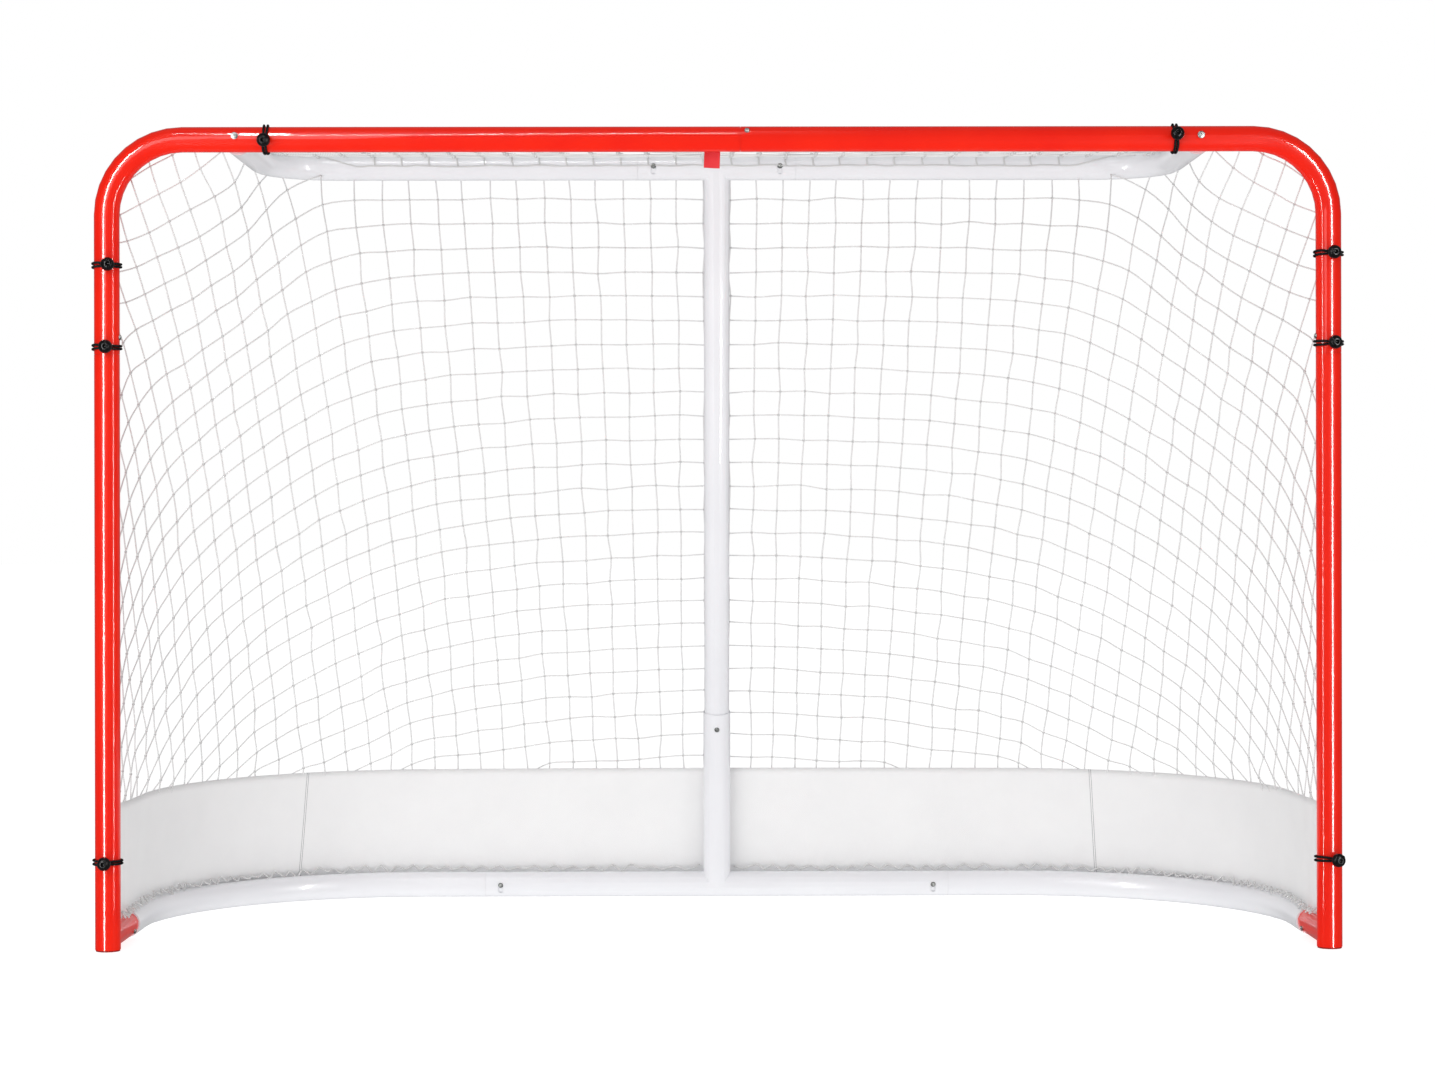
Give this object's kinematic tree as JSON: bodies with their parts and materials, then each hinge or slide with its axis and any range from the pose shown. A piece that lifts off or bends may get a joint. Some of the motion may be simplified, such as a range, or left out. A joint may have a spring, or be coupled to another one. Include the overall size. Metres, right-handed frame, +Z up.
{
  "type": "hockey goal",
  "caption": "Full-size hockey goal with a red steel front frame, a white rear frame joined by snap buttons, a laced net with a skirt, and ball bungees that tie the net in.",
  "frame": {"origin": "on the ground, under the middle of the goal's bounding box", "axes": "+X along the crossbar towards the right post as seen from the mouth, +Y from the mouth to the back of the net, +Z up"},
  "size_m": [1.9142, 0.7526, 1.2647],
  "materials": {
    "red_enamel": "glossy red-orange enamel",
    "white_enamel": "glossy white enamel",
    "zinc_steel": "bright zinc-plated steel",
    "black_plastic": "moulded black plastic",
    "black_elastic": "braided black elastic cord",
    "net_cord": "white twisted netting cord",
    "lacing_cord": "white braided lacing cord",
    "skirt_fabric": "white coated fabric",
    "red_webbing": "woven red webbing",
    "foot_plastic": "moulded plastic tube plug"
  },
  "bodies": {
    "frame": {"left_post": "red_enamel", "foot_plug_left": "foot_plastic", "left_corner_tube": "red_enamel", "top_rail_left": "white_enamel", "base_rail_left": "white_enamel", "rail_screw_left": "zinc_steel", "base_lacing_left": "lacing_cord", "right_post": "red_enamel", "foot_plug_right": "foot_plastic", "right_corner_tube": "red_enamel", "top_rail_right": "white_enamel", "base_rail_right": "white_enamel", "rail_screw_right": "zinc_steel", "base_lacing_right": "lacing_cord", "top_tee": "white_enamel", "base_tee": "white_enamel", "net_back": "net_cord", "net_top": "net_cord", "skirt": "skirt_fabric", "top_lacing": "lacing_cord", "crossbar_tab": "red_webbing", "snap_spring_post_left": "zinc_steel", "snap_spring_stub_left": "zinc_steel", "snap_spring_top_left": "zinc_steel", "snap_spring_base_left": "zinc_steel", "snap_spring_post_right": "zinc_steel", "snap_spring_stub_right": "zinc_steel", "snap_spring_top_right": "zinc_steel", "snap_spring_base_right": "zinc_steel", "snap_spring_crossbar": "zinc_steel", "snap_spring_centre_post": "zinc_steel"},
    "button_post_left": {"snap_button_post_left": "zinc_steel"},
    "button_stub_left": {"snap_button_stub_left": "zinc_steel"},
    "button_top_left": {"snap_button_top_left": "zinc_steel"},
    "button_base_left": {"snap_button_base_left": "zinc_steel"},
    "button_post_right": {"snap_button_post_right": "zinc_steel"},
    "button_stub_right": {"snap_button_stub_right": "zinc_steel"},
    "button_top_right": {"snap_button_top_right": "zinc_steel"},
    "button_base_right": {"snap_button_base_right": "zinc_steel"},
    "button_crossbar": {"snap_button_crossbar": "zinc_steel"},
    "button_centre_post": {"snap_button_centre_post": "zinc_steel"},
    "bungee_left_upper": {"bungee_cord_left_upper": "black_elastic", "bungee_ball_left_upper": "black_plastic"},
    "bungee_left_middle": {"bungee_cord_left_middle": "black_elastic", "bungee_ball_left_middle": "black_plastic"},
    "bungee_left_lower": {"bungee_cord_left_lower": "black_elastic", "bungee_ball_left_lower": "black_plastic"},
    "bungee_crossbar_left": {"bungee_cord_crossbar_left": "black_elastic", "bungee_ball_crossbar_left": "black_plastic"},
    "bungee_crossbar_right": {"bungee_cord_crossbar_right": "black_elastic", "bungee_ball_crossbar_right": "black_plastic"},
    "bungee_right_upper": {"bungee_cord_right_upper": "black_elastic", "bungee_ball_right_upper": "black_plastic"},
    "bungee_right_middle": {"bungee_cord_right_middle": "black_elastic", "bungee_ball_right_middle": "black_plastic"},
    "bungee_right_lower": {"bungee_cord_right_lower": "black_elastic", "bungee_ball_right_lower": "black_plastic"}
  },
  "joints": [
    {"name": "press_post_left", "type": "slide", "parent": "frame", "child": "button_post_left", "axis": [-1, 0, 0], "range_m": [0, 0.0055], "stiffness_N_per_m": 1500, "springref_m": -0.002, "deforming": ["snap_spring_post_left"]},
    {"name": "press_stub_left", "type": "slide", "parent": "frame", "child": "button_stub_left", "axis": [-0.9063, 0, 0.4226], "range_m": [0, 0.0055], "stiffness_N_per_m": 1500, "springref_m": -0.002, "deforming": ["snap_spring_stub_left"]},
    {"name": "press_top_left", "type": "slide", "parent": "frame", "child": "button_top_left", "axis": [0, 1, 0], "range_m": [0, 0.0055], "stiffness_N_per_m": 1500, "springref_m": -0.002, "deforming": ["snap_spring_top_left"]},
    {"name": "press_base_left", "type": "slide", "parent": "frame", "child": "button_base_left", "axis": [0, 1, 0], "range_m": [0, 0.0055], "stiffness_N_per_m": 1500, "springref_m": -0.002, "deforming": ["snap_spring_base_left"]},
    {"name": "press_post_right", "type": "slide", "parent": "frame", "child": "button_post_right", "axis": [1, 0, 0], "range_m": [0, 0.0055], "stiffness_N_per_m": 1500, "springref_m": -0.002, "deforming": ["snap_spring_post_right"]},
    {"name": "press_stub_right", "type": "slide", "parent": "frame", "child": "button_stub_right", "axis": [0.9063, 0, 0.4226], "range_m": [0, 0.0055], "stiffness_N_per_m": 1500, "springref_m": -0.002, "deforming": ["snap_spring_stub_right"]},
    {"name": "press_top_right", "type": "slide", "parent": "frame", "child": "button_top_right", "axis": [0, 1, 0], "range_m": [0, 0.0055], "stiffness_N_per_m": 1500, "springref_m": -0.002, "deforming": ["snap_spring_top_right"]},
    {"name": "press_base_right", "type": "slide", "parent": "frame", "child": "button_base_right", "axis": [0, 1, 0], "range_m": [0, 0.0055], "stiffness_N_per_m": 1500, "springref_m": -0.002, "deforming": ["snap_spring_base_right"]},
    {"name": "press_crossbar", "type": "slide", "parent": "frame", "child": "button_crossbar", "axis": [0, 0.788, -0.6157], "range_m": [0, 0.0055], "stiffness_N_per_m": 1500, "springref_m": -0.002, "deforming": ["snap_spring_crossbar"]},
    {"name": "press_centre_post", "type": "slide", "parent": "frame", "child": "button_centre_post", "axis": [0, 0.9709, 0.2394], "range_m": [0, 0.0055], "stiffness_N_per_m": 1500, "springref_m": -0.002, "deforming": ["snap_spring_centre_post"]},
    {"name": "turn_left_upper", "type": "hinge", "parent": "frame", "child": "bungee_left_upper", "pos_m": [-0.9335, -0.33321, 1.046], "axis": [0, 0, 1], "range_deg": [-35, 35]},
    {"name": "turn_left_middle", "type": "hinge", "parent": "frame", "child": "bungee_left_middle", "pos_m": [-0.9335, -0.33321, 0.921], "axis": [0, 0, 1], "range_deg": [-35, 35]},
    {"name": "turn_left_lower", "type": "hinge", "parent": "frame", "child": "bungee_left_lower", "pos_m": [-0.9335, -0.33321, 0.136], "axis": [0, 0, 1], "range_deg": [-35, 35]},
    {"name": "turn_crossbar_left", "type": "hinge", "parent": "frame", "child": "bungee_crossbar_left", "pos_m": [-0.69, -0.33321, 1.238], "axis": [1, 0, 0], "range_deg": [-35, 35]},
    {"name": "turn_crossbar_right", "type": "hinge", "parent": "frame", "child": "bungee_crossbar_right", "pos_m": [0.698, -0.33321, 1.238], "axis": [1, 0, 0], "range_deg": [-35, 35]},
    {"name": "turn_right_upper", "type": "hinge", "parent": "frame", "child": "bungee_right_upper", "pos_m": [0.9335, -0.33321, 1.062], "axis": [0, 0, 1], "range_deg": [-35, 35]},
    {"name": "turn_right_middle", "type": "hinge", "parent": "frame", "child": "bungee_right_middle", "pos_m": [0.9335, -0.33321, 0.925], "axis": [0, 0, 1], "range_deg": [-35, 35]},
    {"name": "turn_right_lower", "type": "hinge", "parent": "frame", "child": "bungee_right_lower", "pos_m": [0.9335, -0.33321, 0.137], "axis": [0, 0, 1], "range_deg": [-35, 35]}
  ]
}
